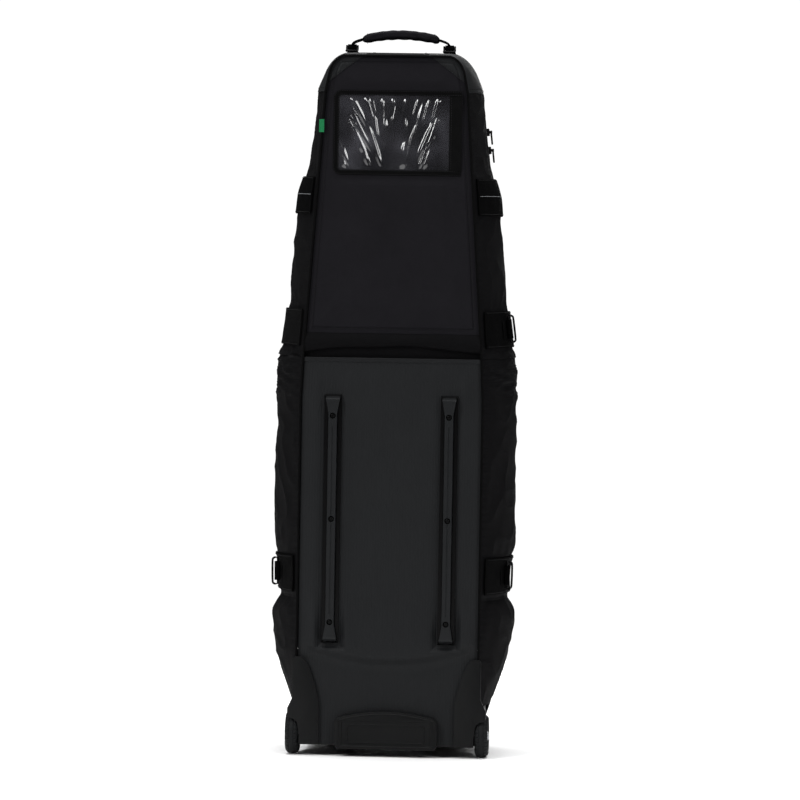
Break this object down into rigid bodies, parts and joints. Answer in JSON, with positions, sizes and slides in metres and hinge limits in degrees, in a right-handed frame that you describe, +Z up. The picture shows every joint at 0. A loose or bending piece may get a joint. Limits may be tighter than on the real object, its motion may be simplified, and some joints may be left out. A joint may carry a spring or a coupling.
{
  "type": "golf travel case",
  "caption": "Tall black soft-sided wheeled travel cover for a golf bag, with a padded top handle, skid rails, a moulded base, a label window and a zipped front flap",
  "frame": {"origin": "on the floor under the middle of the standing case, centred on its width and its depth", "axes": "+Z up the standing case; -Y is the back with the skid rails and the label window; +Y is the zipped front flap; +X is the right side seen from the back, the side of the main zip sliders"},
  "size_m": [0.4384, 0.3754, 1.3046],
  "materials": {
    "cloth": "matte dense nylon weave",
    "coated": "semi-matte coated tarpaulin with faint ribs",
    "board": "plain sheet",
    "moulded": "fine-textured moulded plastic",
    "tyre": "matte with fine tread grooves",
    "steel": "satin",
    "black_steel": "black zinc, satin",
    "webbing": "ribbed polyester webbing",
    "vinyl": "clear flexible vinyl, glossy and wrinkled",
    "green": "woven ribbon, blank",
    "pull": "matte moulded"
  },
  "bodies": {
    "shell": {"gusset_lower_right": "cloth", "gusset_lower_left": "cloth", "gusset_upper_right": "cloth", "gusset_upper_left": "cloth", "top_panel": "cloth", "waist_band": "cloth", "back_panel_upper": "cloth", "front_panel_lower": "cloth", "corner_patch_right": "coated", "corner_patch_left": "coated", "back_panel_lower": "coated", "back_board": "board", "base_tray": "moulded", "front_foot_right": "moulded", "front_foot_left": "moulded", "wheel_housing_right": "moulded", "wheel_housing_left": "moulded", "skid_rail_right": "moulded", "skid_rail_left": "moulded", "base_grip": "moulded", "handle_bracket_right": "moulded", "handle_bracket_left": "moulded", "axle_right": "steel", "axle_left": "steel", "rail_screw_1": "black_steel", "rail_screw_2": "black_steel", "rail_screw_3": "black_steel", "rail_screw_4": "black_steel", "rail_screw_5": "black_steel", "rail_screw_6": "black_steel", "seam_piping": "webbing", "window_binding": "webbing", "window_closure": "webbing", "base_strap_right": "webbing", "base_strap_left": "webbing", "waist_strap_right": "webbing", "waist_strap_left": "webbing", "stripe_band_right": "webbing", "stripe_band_left": "webbing", "main_zip": "webbing", "window_sheet": "vinyl", "side_tag": "green"},
    "wheel_right": {"tyre_right": "tyre", "wheel_hub_right": "moulded", "wheel_bearing_right": "steel"},
    "wheel_left": {"tyre_left": "tyre", "wheel_hub_left": "moulded", "wheel_bearing_left": "steel"},
    "handle": {"handle_strap": "webbing", "handle_grip": "webbing"},
    "flap": {"front_flap": "cloth", "flap_pocket": "cloth"},
    "pocket_zip": {"pocket_slider": "steel"},
    "slider_upper": {"zip_slider_upper": "steel"},
    "slider_lower": {"zip_slider_lower": "steel"},
    "pull_upper": {"zip_pull_upper": "pull"},
    "pull_lower": {"zip_pull_lower": "pull"},
    "ring_base_right": {"base_ring_right": "black_steel"},
    "ring_base_left": {"base_ring_left": "black_steel"},
    "ring_waist": {"waist_ring": "black_steel"}
  },
  "joints": [
    {"name": "wheel_right_spin", "type": "hinge", "parent": "shell", "child": "wheel_right", "pos_m": [0.17, -0.14475, 0.039], "axis": [1, 0, 0], "continuous": true},
    {"name": "wheel_left_spin", "type": "hinge", "parent": "shell", "child": "wheel_left", "pos_m": [-0.17, -0.14475, 0.039], "axis": [1, 0, 0], "continuous": true},
    {"name": "handle_swing", "type": "hinge", "parent": "shell", "child": "handle", "pos_m": [0, -0.07775, 1.27258], "axis": [1, 0, 0], "range_deg": [-45, 45], "stiffness_Nm_per_rad": 0.12},
    {"name": "flap_open", "type": "hinge", "parent": "shell", "child": "flap", "pos_m": [0, 0.12981, 0.172], "axis": [-1, 0, 0], "range_deg": [0, 95]},
    {"name": "pocket_zip_slide", "type": "slide", "parent": "flap", "child": "pocket_zip", "axis": [-1, 0, 0], "range_m": [0, 0.154]},
    {"name": "zip_upper_slide", "type": "slide", "parent": "shell", "child": "slider_upper", "axis": [-0.1098, -0.0691, 0.9915], "range_m": [0, 0.035]},
    {"name": "zip_lower_slide", "type": "slide", "parent": "shell", "child": "slider_lower", "axis": [-0.1098, -0.0691, 0.9915], "range_m": [-0.33, 0]},
    {"name": "pull_upper_swing", "type": "hinge", "parent": "slider_upper", "child": "pull_upper", "pos_m": [0.16049, 0.02379, 1.12743], "axis": [0.1069, -0.9926, -0.0573], "range_deg": [0, 150]},
    {"name": "pull_lower_swing", "type": "hinge", "parent": "slider_lower", "child": "pull_lower", "pos_m": [0.16414, 0.02603, 1.09452], "axis": [0.1024, -0.9931, -0.0578], "range_deg": [0, 150]},
    {"name": "ring_base_right_swing", "type": "hinge", "parent": "shell", "child": "ring_base_right", "pos_m": [0.20717, -0.08551, 0.32487], "axis": [0.0163, 0, 0.9999], "range_deg": [-35, 35]},
    {"name": "ring_base_left_swing", "type": "hinge", "parent": "shell", "child": "ring_base_left", "pos_m": [-0.20717, -0.08551, 0.32487], "axis": [-0.0163, 0, 0.9999], "range_deg": [-35, 35]},
    {"name": "ring_waist_swing", "type": "hinge", "parent": "shell", "child": "ring_waist", "pos_m": [0.20447, -0.08705, 0.7686], "axis": [-0.1278, -0.0277, 0.9914], "range_deg": [-35, 35]}
  ]
}
